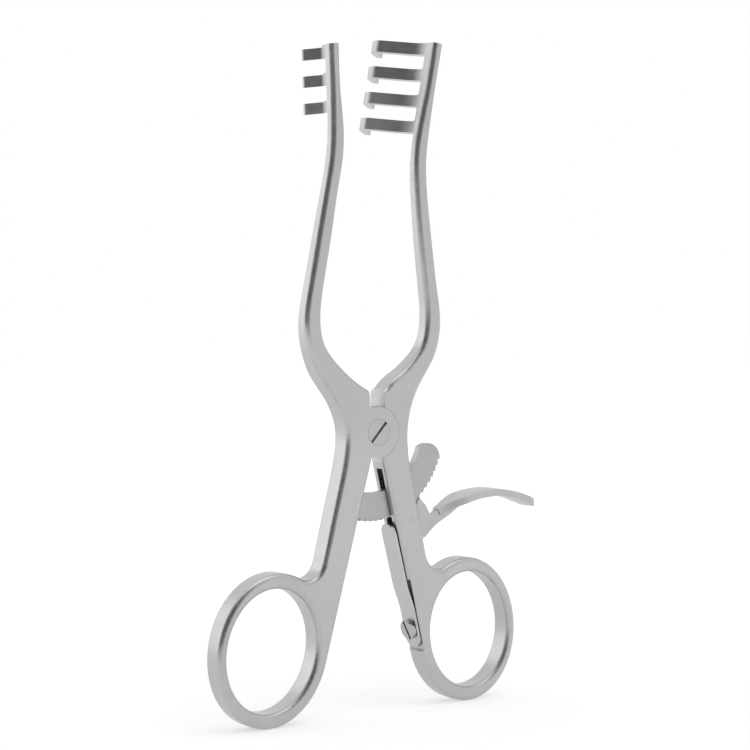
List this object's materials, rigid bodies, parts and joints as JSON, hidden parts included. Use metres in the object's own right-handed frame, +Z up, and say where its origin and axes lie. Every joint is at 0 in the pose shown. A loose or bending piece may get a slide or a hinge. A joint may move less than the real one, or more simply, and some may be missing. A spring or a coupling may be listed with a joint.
{
  "type": "self retaining retractor",
  "caption": "Self retaining surgical retractor with ring handles, lap joint, arc ratchet bar, thumb release lever and opposed combs of blunt hooked prongs.",
  "frame": {"origin": "on the pivot screw's axis, in the plane of the flat front faces", "axes": "+X across the arms towards the lever, +Y from the front faces to the back where the prongs point, +Z up along the instrument to the blades"},
  "size_m": [0.0945, 0.0199, 0.1624],
  "materials": {
    "satin_steel": "satin",
    "spring_steel": "satin"
  },
  "bodies": {
    "female_side": {"female_arm": "satin_steel", "pivot_screw": "satin_steel", "lever_pin": "satin_steel", "spring_screw": "satin_steel"},
    "male_side": {"male_arm": "satin_steel", "ratchet_bar": "satin_steel", "bar_rivets": "satin_steel"},
    "lever": {"release_lever": "satin_steel"},
    "spring": {"leaf_spring": "spring_steel"}
  },
  "joints": [
    {"name": "pivot", "type": "hinge", "parent": "female_side", "child": "male_side", "pos_m": [0, 0, 0], "axis": [0, 1, 0], "range_deg": [-21.25, 17]},
    {"name": "lever_pivot", "type": "hinge", "parent": "female_side", "child": "lever", "pos_m": [0.0106, 0.0028, -0.0214], "axis": [0, 1, 0], "range_deg": [-6.4, 6]},
    {"name": "spring_flex", "type": "hinge", "parent": "female_side", "child": "spring", "pos_m": [0.01269, 0.0029, -0.04828], "axis": [0, 1, 0], "range_deg": [-0.7, 0.75]}
  ],
  "couplings": [
    {"joint": "spring_flex", "follows": "lever_pivot", "ratio": -0.11}
  ]
}
